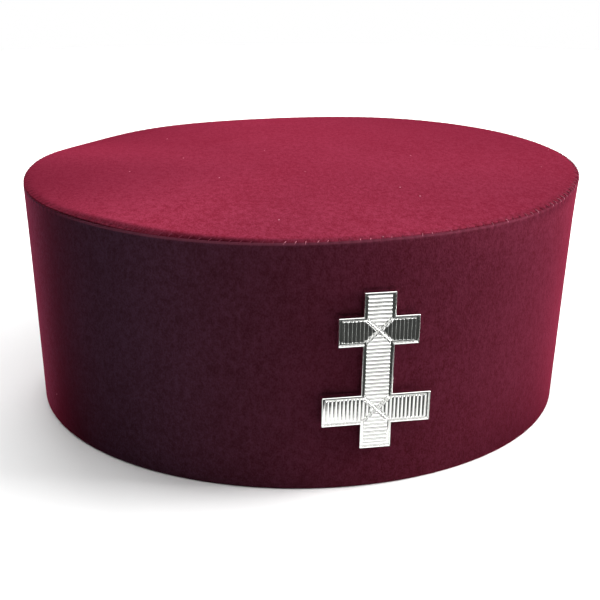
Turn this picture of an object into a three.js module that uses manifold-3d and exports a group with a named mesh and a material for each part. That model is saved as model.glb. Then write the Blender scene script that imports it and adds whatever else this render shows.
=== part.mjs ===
// A round ceremonial crown cap: a stiff velvet band that widens towards the top, a flat velvet
// crown sewn onto it, and a cast double-barred cross badge on the front.
// Millimetres, +Z up. The origin is the centre of the base rim, on the surface that the cap
// rests on. The front, with the badge, faces -Y.
import * as THREE from "three";
import { mergeVertices } from "three/addons/utils/BufferGeometryUtils.js";
import Module from "manifold-3d";

const wasm = await Module();
wasm.setup();

// ---- driving dimensions -----------------------------------------------------------------
const gap = 0.3; // clearance between neighbouring pieces
const overcut = 1; // a cutting solid runs this far past what it cuts
const root = 0.2; // raised metal starts this far below the face that it stands on
const cap = {
  height: 81.9, // base rim to the crown's edge, on the axis
  baseRadius: 95.8, // outside of the band at the base rim
  crownRadius: 98.9, // outside of the band, carried up to the crown's height
  wall: 3, // velvet over stiff board
  leanRight: 0.0103, // the crown is this much higher towards +X, per millimetre
  leanFront: 0.0074, // and towards -Y
  baseEdgeRadius: 0.9, // folded cloth edge at the base
  seamEdgeRadius: 0.7, // folded cloth edge under the crown
  segments: 120, // facets round the cap
  arcSteps: 3, // facets on a folded edge
};
const crown = {
  thickness: 1.6, // velvet over stiff board
  inset: 0.4, // the crown stops this far inside the band's top edge
  edgeRadius: 0.7,
  dome: 1.0, // rise of the top face at its middle
  domeSteps: 5,
};
const badge = {
  height: 51.2,
  shaftWidth: 9.8,
  upperBar: { width: 25, height: 9.4, y: 13.2 }, // y from the badge's centre
  lowerBar: { width: 34, height: 9.8, y: -12.5 },
  thickness: 2.6, // back to the top of the border
  centreHeight: 40.4, // badge's centre above the base rim
  aside: -0.5, // badge's centre from the front line, towards +X
  turn: -2.7, // degrees that its face looks towards +X, as it was pinned on
  lean: -0.4, // degrees that its top leans towards -X
  borderWidth: 0.55,
  channelWidth: 0.4,
  channelDepth: 0.85, // below the border's top
  panelChamfer: 0.45, // slope at the edge of the ribbed panel
  ribPitch: 1.25,
  ribDepth: 0.42,
  ribCrest: 0.5, // flat width at the top of a rib
  ribTop: 0.1, // ribs stop this far below the border's top
  mitreWidth: 0.45, // raised diagonal where the ribs change direction
};
const fixing = {
  postRadius: 1.4, // posts behind the two bar crossings, through the band
  postSegments: 16,
  plateWidth: 9,
  plateHeight: 36,
  plateThickness: 1,
  standOff: 0.8, // plate's face to the inside of the band
};

// ---- cloth and metal --------------------------------------------------------------------
const bandCloth = new THREE.MeshStandardMaterial({ color: 0x5c1830, roughness: 0.95, metalness: 0 });
const crownCloth = new THREE.MeshStandardMaterial({ color: 0x6e1c38, roughness: 0.95, metalness: 0 });
const plated = new THREE.MeshStandardMaterial({ color: 0xd8d9d6, roughness: 0.18, metalness: 1 });
const steel = new THREE.MeshStandardMaterial({ color: 0x9a9b9c, roughness: 0.4, metalness: 1 });

// ---- geometry helpers -------------------------------------------------------------------
const mergeTolerance = 1e-4; // corners closer than this are one corner

// A closed three.js geometry as a manifold-3d solid.
function solidFrom(geometry) {
  const bare = geometry.clone();
  bare.deleteAttribute("normal");
  bare.deleteAttribute("uv");
  const merged = mergeVertices(bare, mergeTolerance);
  return new wasm.Manifold(
    new wasm.Mesh({
      numProp: 3,
      vertProperties: new Float32Array(merged.attributes.position.array),
      triVerts: new Uint32Array(merged.index.array),
    }),
  );
}

// A manifold-3d solid as a three.js geometry with flat facets.
function geometryFrom(solid) {
  const mesh = solid.getMesh();
  const geometry = new THREE.BufferGeometry();
  geometry.setAttribute("position", new THREE.BufferAttribute(new Float32Array(mesh.vertProperties), 3));
  geometry.setIndex(new THREE.BufferAttribute(new Uint32Array(mesh.triVerts), 1));
  const flat = geometry.toNonIndexed();
  flat.computeVertexNormals();
  return flat;
}

function unionOf(solids) {
  return solids.reduce((whole, next) => whole.add(next));
}

// An outline of [x, y] corners, anticlockwise, filled and carried from one height to another.
function prism(corners, fromZ, toZ) {
  const shape = new THREE.Shape(corners.map(([x, y]) => new THREE.Vector2(x, y)));
  return new THREE.ExtrudeGeometry(shape, { depth: toZ - fromZ, bevelEnabled: false }).translate(0, 0, fromZ);
}

// Profile points on part of a circle, from one angle to another, in degrees.
function arc(centreR, centreZ, radius, fromDeg, toDeg) {
  return Array.from({ length: cap.arcSteps + 1 }, (_, i) => {
    const angle = THREE.MathUtils.degToRad(fromDeg + ((toDeg - fromDeg) * i) / cap.arcSteps);
    return new THREE.Vector2(centreR + radius * Math.cos(angle), centreZ + radius * Math.sin(angle));
  });
}

// A solid of revolution about +Z from points (radius, height) that run anticlockwise,
// with the cap's lean put in: heights grow towards +X and -Y in proportion.
function leaningLathe(points) {
  const geometry = new THREE.LatheGeometry(points, cap.segments).rotateX(Math.PI / 2);
  const position = geometry.attributes.position;
  for (let i = 0; i < position.count; i += 1) {
    const rise = cap.leanRight * position.getX(i) - cap.leanFront * position.getY(i);
    const growth = 1 + rise / cap.height;
    position.setZ(i, position.getZ(i) * growth);
  }
  return geometry;
}

// ---- the cap ----------------------------------------------------------------------------
const seamHeight = cap.height - crown.thickness - gap;
const flare = (cap.crownRadius - cap.baseRadius) / cap.height;
const outerRadiusAt = (height) => cap.baseRadius + flare * height;
const innerRadiusAt = (height) => outerRadiusAt(height) - cap.wall;

function bandGeometry() {
  const low = cap.baseEdgeRadius;
  const high = cap.seamEdgeRadius;
  const profile = [
    ...arc(innerRadiusAt(low) + low, low, low, 180, 270),
    ...arc(outerRadiusAt(low) - low, low, low, 270, 360),
    ...arc(outerRadiusAt(seamHeight - high) - high, seamHeight - high, high, 0, 90),
    new THREE.Vector2(innerRadiusAt(seamHeight), seamHeight),
  ];
  return leaningLathe([...profile, profile[0]]);
}

function crownGeometry() {
  const edge = crown.edgeRadius;
  const under = cap.height - crown.thickness;
  const radius = outerRadiusAt(cap.height) - crown.inset;
  const shoulder = radius - edge;
  const domed = Array.from({ length: crown.domeSteps }, (_, i) => {
    const share = 1 - (i + 1) / crown.domeSteps;
    return new THREE.Vector2(shoulder * share, cap.height + crown.dome * (1 - share ** 2));
  });
  return leaningLathe([
    new THREE.Vector2(0, under),
    new THREE.Vector2(radius, under),
    ...arc(shoulder, cap.height - edge, edge, 0, 90),
    ...domed,
  ]);
}

// ---- the badge, face up in its own frame: x across, y up the shaft, z out of the face --------
const bars = [badge.upperBar, badge.lowerBar];
const panelInset = badge.borderWidth + badge.channelWidth;
const channelFloor = badge.thickness - badge.channelDepth;
const ribCrestHeight = badge.thickness - badge.ribTop;

// The cross outline, drawn in by a margin all round, anticlockwise from the foot.
function crossOutline(margin) {
  const half = badge.shaftWidth / 2 - margin;
  const end = badge.height / 2 - margin;
  const barCorners = [...bars].reverse().flatMap((bar) => {
    const reach = bar.width / 2 - margin;
    const rise = bar.height / 2 - margin;
    return [[half, bar.y - rise], [reach, bar.y - rise], [reach, bar.y + rise], [half, bar.y + rise]];
  });
  const right = [[half, -end], ...barCorners, [half, end]];
  const left = right.map(([x, y]) => [-x, y]).reverse();
  return [...right, ...left];
}

function crossPrism(margin, fromZ, toZ) {
  return solidFrom(prism(crossOutline(margin), fromZ, toZ));
}

// The raised panel inside the channel, with sides that slope out to its foot. The extrusion is
// bevelled both ways from its widest level, and its lower half is cut away.
function panelBlock(fromZ, toZ) {
  const corners = crossOutline(panelInset + badge.panelChamfer).map(([x, y]) => new THREE.Vector2(x, y));
  const bothWays = new THREE.ExtrudeGeometry(new THREE.Shape(corners), {
    depth: mergeTolerance * 10,
    bevelThickness: toZ - fromZ,
    bevelSize: badge.panelChamfer,
    bevelSegments: 1,
  });
  return solidFrom(bothWays.translate(0, 0, fromZ)).intersect(crossPrism(0, fromZ, toZ));
}

// Ribs side by side along x, each running along y: the stuff of the panel, as a solid.
function ribField(length, across) {
  const count = Math.floor(length / badge.ribPitch / 2) * 2 + 1;
  const end = (count * badge.ribPitch) / 2;
  const valley = ribCrestHeight - badge.ribDepth;
  const crests = Array.from({ length: count }, (_, i) => {
    const middle = end - (i + 0.5) * badge.ribPitch;
    return [
      [middle + badge.ribPitch / 2, valley],
      [middle + badge.ribCrest / 2, ribCrestHeight],
      [middle - badge.ribCrest / 2, ribCrestHeight],
    ];
  }).flat();
  const section = [[-end, 0], [end, 0], ...crests, [-end, valley]];
  return prism(section, -across / 2, across / 2).rotateX(Math.PI / 2);
}

// A bar without the top and bottom quarters of its crossing, where the shaft's ribs run on.
function barRegion(bar) {
  const half = badge.shaftWidth / 2;
  const reach = bar.width / 2;
  const rise = bar.height / 2;
  const right = [[0, 0], [half, -rise], [reach, -rise], [reach, rise], [half, rise]];
  const left = right.map(([x, y]) => [-x, y]).reverse();
  const arms = [right, left].map((corners) => corners.map(([x, y]) => [x, bar.y + y]));
  return unionOf(arms.map((corners) => solidFrom(prism(corners, -overcut, badge.thickness + overcut))));
}

// A thin raised line along one diagonal of a crossing.
function mitre(bar, side) {
  const width = badge.shaftWidth - 2 * panelInset;
  const height = bar.height - 2 * panelInset;
  const foot = channelFloor - root;
  const line = new THREE.BoxGeometry(Math.hypot(width, height), badge.mitreWidth, ribCrestHeight - foot);
  line.rotateZ(side * Math.atan2(height, width)).translate(0, bar.y, (foot + ribCrestHeight) / 2);
  return solidFrom(line);
}

function badgeGeometry() {
  const plate = crossPrism(0, 0, channelFloor);
  const inside = crossPrism(badge.borderWidth, channelFloor, badge.thickness + overcut);
  const border = crossPrism(0, 0, badge.thickness).subtract(inside);
  const panel = panelBlock(channelFloor - root, ribCrestHeight);
  const barAreas = unionOf(bars.map(barRegion));
  const shaftRibs = solidFrom(ribField(badge.height, badge.lowerBar.width).rotateZ(Math.PI / 2));
  const barRibs = solidFrom(ribField(badge.lowerBar.width, badge.height));
  const shaftPanel = panel.subtract(barAreas).intersect(shaftRibs);
  const barPanel = panel.intersect(barAreas).intersect(barRibs);
  const mitres = bars.flatMap((bar) => [mitre(bar, 1), mitre(bar, -1)]);
  return geometryFrom(unionOf([plate, border, shaftPanel, barPanel, ...mitres]));
}

// ---- the fixing behind the badge, in the badge's frame ------------------------------------------
const bandFront = -gap;
const bandBack = bandFront - cap.wall;
const plateFace = bandBack - fixing.standOff;

// Rods behind the two crossings, along z, from one depth to another.
function rods(radius, fromZ, toZ) {
  return unionOf(
    bars.map((bar) => {
      const rod = new THREE.CylinderGeometry(radius, radius, toZ - fromZ, fixing.postSegments);
      return solidFrom(rod.rotateX(Math.PI / 2).translate(0, bar.y, (fromZ + toZ) / 2));
    }),
  );
}

function fixingGeometry() {
  const { plateWidth, plateHeight, plateThickness } = fixing;
  const plate = new THREE.BoxGeometry(plateWidth, plateHeight, plateThickness);
  plate.translate(0, 0, plateFace - plateThickness / 2);
  return geometryFrom(solidFrom(plate).add(rods(fixing.postRadius, plateFace - root, -gap)));
}

// ---- assembly ---------------------------------------------------------------------------
const part = new THREE.Group();

function addNode(parent, name, geometry, material) {
  const mesh = new THREE.Mesh(geometry, material);
  mesh.name = name;
  parent.add(mesh);
}

// The badge stands against the outside of the band on the front, tipped out with its flare and
// turned a little, so that its flat back is a gap off the band where the two are nearest.
const turn = THREE.MathUtils.degToRad(badge.turn);
const nearest = outerRadiusAt(badge.centreHeight) + gap;
const badgeSeat = new THREE.Group();
badgeSeat.position.x = badge.aside;
badgeSeat.position.y = -(nearest - badge.aside * Math.sin(turn)) / Math.cos(turn);
badgeSeat.position.z = badge.centreHeight;
badgeSeat.rotation.x = Math.PI / 2 + Math.atan(flare);
badgeSeat.rotateY(turn);
badgeSeat.rotateZ(THREE.MathUtils.degToRad(badge.lean));
part.add(badgeSeat);
badgeSeat.updateMatrixWorld(true);

const drilled = geometryFrom(rods(fixing.postRadius + gap, bandBack - overcut, bandFront + overcut));
const holes = solidFrom(drilled.applyMatrix4(badgeSeat.matrixWorld));

addNode(part, "side_band", geometryFrom(solidFrom(bandGeometry()).subtract(holes)), bandCloth);
addNode(part, "crown_top", crownGeometry(), crownCloth);
addNode(badgeSeat, "cross_badge", badgeGeometry(), plated);
addNode(badgeSeat, "badge_fixing", fixingGeometry(), steel);

export default part;
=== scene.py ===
import math

import bpy
import numpy as np
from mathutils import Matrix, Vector


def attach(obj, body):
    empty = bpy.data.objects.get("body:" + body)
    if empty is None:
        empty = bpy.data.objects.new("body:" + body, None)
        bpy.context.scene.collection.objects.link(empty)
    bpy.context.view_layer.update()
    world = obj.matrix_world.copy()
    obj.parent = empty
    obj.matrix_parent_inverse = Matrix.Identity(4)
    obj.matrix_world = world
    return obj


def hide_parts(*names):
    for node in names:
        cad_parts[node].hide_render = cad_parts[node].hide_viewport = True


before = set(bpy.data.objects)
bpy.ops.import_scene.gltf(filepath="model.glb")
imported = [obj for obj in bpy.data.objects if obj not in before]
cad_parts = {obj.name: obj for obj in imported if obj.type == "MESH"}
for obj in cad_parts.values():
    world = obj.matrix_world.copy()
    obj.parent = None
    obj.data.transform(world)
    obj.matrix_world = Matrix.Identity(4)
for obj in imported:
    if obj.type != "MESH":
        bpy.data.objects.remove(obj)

MM = 0.001
TAU = 2 * math.pi
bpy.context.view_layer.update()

# ---- the cap's driving sizes ------------------------------------------------
CROWN_Z = 81.9 * MM  # the crown's edge above the base rim, on the axis
RIM_R = 95.8 * MM  # outside of the band at the base rim
TOP_R = 98.9 * MM  # outside of the band, carried up to the crown's height
LEAN_RIGHT = 0.0103  # the crown is this much higher towards +X, per metre
LEAN_FRONT = 0.0074  # and towards -Y
FLARE = (TOP_R - RIM_R) / CROWN_Z
WALL = 3.0 * MM
GAP = 0.3 * MM  # between neighbouring pieces
HEM_R = 0.9 * MM  # the band's cloth turned under at the base rim
HEM_STEPS = 5  # grid steps round the hem's outside
TUCKED_STEPS = 4  # and round its inside
FOLD_R = 0.40 * MM  # the band's cloth folded over at the seam
FOLD_Z = 81.05 * MM  # middle of that fold
CROWN_EDGE_R = TOP_R - 1.0 * MM
CROWN_THICK = 1.6 * MM
CROWN_DOME = 1.0 * MM
EDGE_DROP = 0.45 * MM  # the crown's top curves down by this much
EDGE_WIDE = 3.0 * MM  # over this width at its edge
ROLL_R = 0.35 * MM  # the crown's cloth turned under at its edge
TUCK_IN = 0.5 * MM  # and tucked in by this much
STITCHES = 192  # whip stitches round the crown
COLUMNS = STITCHES * 6  # grid columns round the cap


def band_radius(z):
    """Outside radius of the band at height z: RIM_R + FLARE z."""
    return RIM_R + FLARE * z


# ---- making meshes ----------------------------------------------------------
def add_piece(name, points, faces, materials, face_material=None, uv=None, marks=None):
    """A mesh object from points of shape (..., 3) and faces, riding on the cap's body. marks are
    named numbers at each point, or on one row of points for all rows: worn_and_highlight, how far
    the pile is painted paler along the fold, 0 to 1, as worn pile and as the fold's painted highlight,
    nap_and_shading, how much lighter the cloth is painted, -1 to 1, partly for the way its pile lies
    and partly as painted light and shade, shade_tint, how much of the cooler colour painted on the
    shaded side shows, 0 to 1, and thread_glint, how much paler a thread is painted as a glint of light."""
    mesh = bpy.data.meshes.new(name)
    mesh.from_pydata(points.reshape(-1, 3), [], faces)
    for material in materials:
        mesh.materials.append(material)
    if face_material is not None:
        mesh.polygons.foreach_set("material_index", face_material.astype(np.int32))
    mesh.polygons.foreach_set("use_smooth", np.ones(len(mesh.polygons), bool))
    if uv is not None:
        corners = np.empty(len(mesh.loops), np.int32)
        mesh.loops.foreach_get("vertex_index", corners)
        mesh.uv_layers.new(name="cloth").data.foreach_set("uv", uv[corners].ravel())
    for mark, values in (marks or {}).items():
        values = np.resize(values, len(mesh.vertices)).astype(np.float32)
        mesh.attributes.new(mark, "FLOAT", "POINT").data.foreach_set("value", values)
    mesh.update()
    piece = bpy.data.objects.new(name, mesh)
    bpy.context.scene.collection.objects.link(piece)
    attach(piece, "root")
    return piece


def ring_quads(rows, columns, close_rows=False):
    """Quads of a grid whose columns wrap round; its rows wrap too if close_rows is true."""
    row = np.arange(rows if close_rows else rows - 1)[:, None]
    column = np.arange(columns)[None, :]
    here = row * columns
    next_row = (row + 1) % rows * columns
    beside = (column + 1) % columns
    quads = np.stack([here + column, here + beside, next_row + beside, next_row + column], axis=-1)
    return quads.reshape(-1, 4)


def arc(centre_r, centre_z, radius, from_deg, to_deg, steps):
    """Profile points (r, z) = centre + radius (cos a, sin a), a from one angle to another."""
    a = np.radians(np.linspace(from_deg, to_deg, steps + 1))
    return np.stack([centre_r + radius * np.cos(a), centre_z + radius * np.sin(a)], axis=-1)


def straight(start, end, steps):
    """Profile points from start towards end at shares i / steps, with the end left out."""
    share = (np.arange(steps) / steps)[:, None]
    return np.array(start) * (1 - share) + np.array(end) * share


def leaned(r, z, angle):
    """(x, y, z) of the point r, z of a section turned to an angle from the front. Its height
    grows by the factor 1 + (LEAN_RIGHT x - LEAN_FRONT y) / CROWN_Z. Towards the crown it follows
    the hand-made edge, with the share (z / CROWN_Z)^2 of its rise and reach and the share
    (z / CROWN_Z)^16 of its lip, and the whole band sways to +X by SWAY (z - SWAY_Z)."""
    up = np.clip(z / CROWN_Z, 0, 1)
    out = r / TOP_R
    rise = up**2 * edge_rise(out, angle)
    lip = humps(angle, EDGE_LIPS) * MM
    r = r + out**3 * (up**2 * edge_reach(angle) + up**16 * lip)
    x = r * np.sin(angle) + SWAY * (z - SWAY_Z)
    y = -r * np.cos(angle)
    height = z * (1 + (LEAN_RIGHT * x - LEAN_FRONT * y) / CROWN_Z) + rise
    return np.stack([x, y, height], axis=-1)


# ---- how hand-sewn cloth departs from a true turned shape -------------------
SWAY = 0.012  # the band leans over to +X by this much a metre of height
SWAY_Z = 40 * MM
OVAL = 0.5 * MM  # the crown's edge is out of round by this much, at OVAL_TURN radians
OVAL_TURN = 2.69
LAP_DIP = 0.75 * MM  # the band's fold is drawn down by this much under the crown's lap
GROOVE_DEPTH = 0.5 * MM  # the join in the band's cloth: a groove
GROOVE_WIDE = 0.45 * MM
SWELL_HIGH = 0.10 * MM  # and a swelling on each side of it
SWELL_AWAY = 1.7 * MM
SWELL_WIDE = 1.2 * MM

# waves of the crown's edge: size in millimetres, number of waves round the cap, phase
EDGE_WAVES = ((0.45, 1, -math.pi / 2), (0.60, 2, 3.89), (0.38, 3, 5.0), (0.36, 4, 0.0),
              (0.39, 5, math.pi / 2))

# Soft humps round the cap are rows of amount, middle and width. The middle is in degrees from
# the front towards +X, and the width in degrees. The amounts of these are in millimetres.
EDGE_RISES = ((1.8, -113, 16), (-1.7, -72, 18), (-0.25, -136, 14), (0.4, 108, 20),
              (-0.6, 36, 16), (-0.2, 12, 12))  # the crown's edge and all below it, up
EDGE_LIPS = ((0.8, 76, 26),)  # the crown's edge, out over the band
RIM_SAGS = ((0.70, -46, 15), (-0.22, 14, 14))  # the rim of the crown's cloth, down
RIM_SWELLS = ((0.12, 60, 24),)  # and out
SEAM_DIPS = ((0.9, -50, 17), (0.15, 25, 14), (0.3, 62, 22))  # the band's fold, down
FOLD_TUCKS = ((0.22, 80, 30),)  # the band's fold, in
STITCH_BOWS = ((0.23, 65, 30),)  # the stitches, bowed up

# The amounts of these are shares.
CROWN_LAPS = ((1.0, -98, 30), (1.0, 122, 32))  # the crown's cloth laps over the band's fold
FOLD_PALING_LESS = ((1.0, 58, 42),)  # the fold is painted paler, as worn pile and as its painted highlight, by this much less
FOLD_PALING_LESS_LEFT = ((0.8, -74, 16),)
PAINTED_SHADE_SIDE = ((1.0, -63, 38),)  # the band's shaded side, where a cooler colour is painted as its shade
GLINTING_STITCHES = ((0.8, 50, 24), (0.35, 8, 12), (0.8, -13, 4))  # chance of a stitch painted paler as a glint of light
# how much lighter or darker the cloth is painted: partly for the way its pile lies, partly painted light
# and shade
BAND_NAP_AND_SHADING = ((0.55, -92, 11), (-0.45, -62, 18), (-0.15, -40, 20), (-0.22, -70, 7), (0.20, 65, 13))
LOW_NAP_AND_SHADING = ((-0.65, 46, 28), (-0.5, -74, 13))  # painted shade near the hem
HIGH_NAP_AND_SHADING = ((0.5, 40, 35), (0.3, 66, 15))  # painted light near the fold, where the cloth rolls out towards the light above
UNDER_FOLD_SHADE = ((-0.55, 50, 20),)  # painted shade close under the fold
# the crown, lighter and darker in broad patches: partly for the way its pile lies, partly painted light
# and shade
CROWN_NAP_AND_SHADING = ((0.75, -40, 19), (0.45, 0, 22), (-0.50, -91, 19), (-0.55, 130, 55), (-0.5, -145, 28))
RIM_NAP_AND_SHADING = ((-1.3, -30, 13), (0.4, 13, 15))  # on the crown's rim, with painted shade in the crease at the front left


def near(angle, middle, width):
    """A soft hump exp(-((a - middle) / width)^2) round the cap, in degrees."""
    away = np.degrees(np.angle(np.exp(1j * (angle - math.radians(middle)))))
    return np.exp(-((away / width) ** 2))


def humps(angle, rows):
    """Soft humps added up: the sum over the rows of amount near(angle, middle, width)."""
    return sum(amount * near(angle, middle, width) for amount, middle, width in rows)


def edge_rise(out, angle):
    """How far the crown is above its plane. Its hand-sewn edge has slow waves a_k sin(k a + p_k),
    and cloth stretched over it follows them as out^k, with out from 0 in the middle to 1, and
    the humps of the edge as out^4."""
    waves = sum(size * out**k * np.sin(k * angle + phase) for size, k, phase in EDGE_WAVES)
    return (waves + out**4 * humps(angle, EDGE_RISES)) * MM


def edge_reach(angle):
    """How far out of round the crown's edge is: OVAL cos(2 a - OVAL_TURN)."""
    return OVAL * np.cos(2 * angle - OVAL_TURN)


def crown_lap(angle):
    """Where the crown's cloth laps over the band's fold and hides it, 0 to 1: at both sides,
    towards the back."""
    return np.clip(humps(angle, CROWN_LAPS), 0, 1)


def seam_dip(angle):
    """How far the seam is drawn below the crown's edge: its dips, and LAP_DIP sin(lap pi / 2)
    where the crown laps over it."""
    return humps(angle, SEAM_DIPS) * MM + LAP_DIP * np.sin(crown_lap(angle) * math.pi / 2)


sewing = np.random.default_rng(31)
stitch_tension = sewing.uniform(0.4, 1.0, STITCHES)  # as shares of the tightest


def stitch_pull(angle):
    """How far the stitches draw the cloth in, 0 to 1: ((1 + cos(N a)) / 2)^2.5 for N stitches
    round the cap, times the tension of the nearest one."""
    nearest = np.round(angle / TAU * STITCHES).astype(int) % STITCHES
    return ((1 + np.cos(angle * STITCHES)) / 2) ** 2.5 * stitch_tension[nearest]


def slow_waves(angle, along, count, most_round, length_range):
    """A sum of count waves cos(k a + p) cos(2 pi s / length + q) over angle a and distance s,
    with k from 2 to most_round and each wave's size falling as 1 / sqrt(k)."""
    total = 0.0
    for _ in range(count):
        k = sewing.integers(2, most_round)
        length = sewing.uniform(*length_range)
        p, q = sewing.uniform(0, TAU, 2)
        total = total + np.cos(k * angle + p) * np.cos(TAU * along / length + q) / math.sqrt(k)
    return total / math.sqrt(count)


def plane_waves(x, y, count, length_range):
    """A sum of count waves cos(2 pi (x cos t + y sin t) / length + p) in all directions t."""
    total = 0.0
    for _ in range(count):
        t, p = sewing.uniform(0, TAU, 2)
        length = sewing.uniform(*length_range)
        total = total + np.cos(TAU * (x * math.cos(t) + y * math.sin(t)) / length + p)
    return total / math.sqrt(count)


def back_seam(angle, radius):
    """The join in the band's cloth at the back: at distance d from it, a groove
    -GROOVE_DEPTH exp(-(d / GROOVE_WIDE)^2) between two slight swellings."""
    d = np.abs(angle - math.pi) * radius
    groove = GROOVE_DEPTH * np.exp(-((d / GROOVE_WIDE) ** 2))
    return SWELL_HIGH * np.exp(-(((d - SWELL_AWAY) / SWELL_WIDE) ** 2)) - groove


# ---- the band and the crown -------------------------------------------------
BAND_UNEVEN = 0.12 * MM  # size of the slow waves in the band's face
CROWN_UNEVEN = 0.12 * MM  # and in the crown's
FOLD_REACH = 1.3 * MM  # how far from the fold the stitches draw the band's cloth
FOLD_DRAWN_IN = 0.16 * MM  # by the tightest stitch
FOLD_DRAWN_DOWN = 0.10 * MM
RIM_REACH = 1.5 * MM  # how far from its rim they draw the crown's cloth
RIM_DRAWN_IN = 0.12 * MM
RIM_DRAWN_DOWN = 0.17 * MM
RIM_LAP = 0.95 * MM  # how far the crown's cloth laps out over the fold
DIP_FADE = 6 * MM  # height below the fold over which its dips fade out
FOLD_PALING = 0.62  # how far the fold is painted paler, as pile worn flat and as the fold's painted highlight, more or less by the spread below
FOLD_PALING_SPREAD = 0.30
FOLD_PALING_LEAST = 0.2
FOLD_PALING_SLANT = 0.35  # the paler line rises by this slope inwards over the fold
FOLD_PALING_WIDE = 0.34 * MM
LOW_FADE = 14 * MM  # heights over which the painted shading at the hem and at the fold fades out
HIGH_FADE = 7 * MM
UNDER_FOLD = 1.0 * MM  # the painted shade's middle below the fold, and its half height
UNDER_FOLD_WIDE = 1.9 * MM
# the darkest that the painted shading goes
DARKEST_NAP_AND_SHADING = -0.8
column_angle = np.arange(COLUMNS) / COLUMNS * TAU


def fold_middle():
    """Radius of the middle of the band's fold."""
    return band_radius(FOLD_Z) - FOLD_R


def band_section():
    """The band's closed section as (r, z) points with the number of outside points: up the
    outside, in finer steps from fine_z, over the fold, down the inside and round the hem."""
    fold_r = fold_middle()
    fine_z = FOLD_Z - 2.6 * MM
    top_z = CROWN_Z - CROWN_THICK - GAP
    outside = np.concatenate([
        arc(band_radius(HEM_R) - HEM_R, HEM_R, HEM_R, 270, 360, HEM_STEPS)[:-1],
        straight([band_radius(HEM_R), HEM_R], [band_radius(fine_z), fine_z], 40),
        straight([band_radius(fine_z), fine_z], [band_radius(FOLD_Z), FOLD_Z], 6),
        arc(fold_r, FOLD_Z, FOLD_R, 0, 180, 9),
    ])
    inside_r = band_radius(HEM_R) - WALL
    inside = np.concatenate([
        straight([fold_r - FOLD_R, top_z], [band_radius(top_z) - WALL, top_z], 2),
        straight([band_radius(top_z) - WALL, top_z], [inside_r, HEM_R], 14),
        arc(inside_r + HEM_R, HEM_R, HEM_R, 180, 270, TUCKED_STEPS),
    ])
    return np.concatenate([outside, inside]), len(outside)


def band_wear_and_highlight(angle, r, z):
    """How far the fold is painted paler, 0 to 1, as pile worn flat and as the fold's painted highlight:
    in uneven stretches along the front of the fold, less at the right and the left front, and nowhere
    under the crown's lap."""
    uneven = slow_waves(angle, 0 * angle, 7, 60, (1, 2))
    worn = np.clip(FOLD_PALING + FOLD_PALING_SPREAD * uneven, FOLD_PALING_LEAST, 1)
    worn = worn * (1 - humps(angle, FOLD_PALING_LESS)) * (1 - humps(angle, FOLD_PALING_LESS_LEFT))
    off_line = (r - fold_middle() - FOLD_R) * FOLD_PALING_SLANT + z - FOLD_Z
    return worn * (1 - crown_lap(angle)) * np.exp(-((off_line / FOLD_PALING_WIDE) ** 2))


def band_nap_and_shading(angle, z):
    """How much lighter or darker the band is painted: partly for the way its pile lies, partly painted
    light and shade, with painted shade close under the fold.
    """
    low = np.exp(-z / LOW_FADE)
    high = np.exp(np.clip(z - FOLD_Z, -FOLD_Z, 0) / HIGH_FADE)
    under_fold = np.exp(-(((z - FOLD_Z + UNDER_FOLD) / UNDER_FOLD_WIDE) ** 2))
    nap_and_shading = humps(angle, BAND_NAP_AND_SHADING) + low * humps(angle, LOW_NAP_AND_SHADING) + high * humps(angle, HIGH_NAP_AND_SHADING)
    return np.maximum(nap_and_shading + under_fold * humps(angle, UNDER_FOLD_SHADE), DARKEST_NAP_AND_SHADING)


def side_band(materials):
    """The band: its section turned round the axis, with the outside drawn in by the stitches and
    uneven by a few tenths of a millimetre."""
    section, outside = band_section()
    r, z = section[:, :1], section[:, 1:]
    angle = column_angle[None, :]
    face = np.zeros_like(r)
    face[HEM_STEPS:outside] = 1
    near_fold = face * np.exp(-(((z - FOLD_Z) / FOLD_REACH) ** 2))
    above = face * np.clip((z - FOLD_Z) / DIP_FADE + 1, 0, 1) ** 2
    mid_face = face * np.sin(np.pi * np.clip(z / FOLD_Z, 0, 1)) ** 0.6
    pull = stitch_pull(angle)
    uneven = slow_waves(angle, z, 9, 26, (60 * MM, 240 * MM))
    # the fold painted paler, as worn pile and as its painted highlight
    worn_and_highlight = face * band_wear_and_highlight(angle, r, z)
    r = r + mid_face * BAND_UNEVEN * uneven - near_fold * FOLD_DRAWN_IN * pull
    r = r - above * humps(angle, FOLD_TUCKS) * MM + face * back_seam(angle, TOP_R)
    z = z - near_fold * FOLD_DRAWN_DOWN * pull - above * seam_dip(angle)
    points = leaned(r, z, angle)
    faces = ring_quads(len(section), COLUMNS, close_rows=True)
    row = np.arange(len(faces)) // COLUMNS
    lined = (row >= outside) & (row < len(section) - TUCKED_STEPS)
    length = np.concatenate([[0], np.cumsum(np.hypot(*np.diff(section, axis=0).T))])
    uv = np.stack(np.broadcast_arrays(angle * TOP_R, length[:, None]), axis=-1).reshape(-1, 2)
    # marks: painted light and shade, the fold painted paler as worn pile and as its highlight, and a
    # cooler colour painted on the shaded side
    marks = {"worn_and_highlight": worn_and_highlight, "nap_and_shading": band_nap_and_shading(angle, z), "shade_tint": humps(angle, PAINTED_SHADE_SIDE)}
    piece = add_piece("side_band_velvet", points, faces, materials,
                      face_material=lined, uv=uv, marks=marks)
    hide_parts("side_band")


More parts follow.
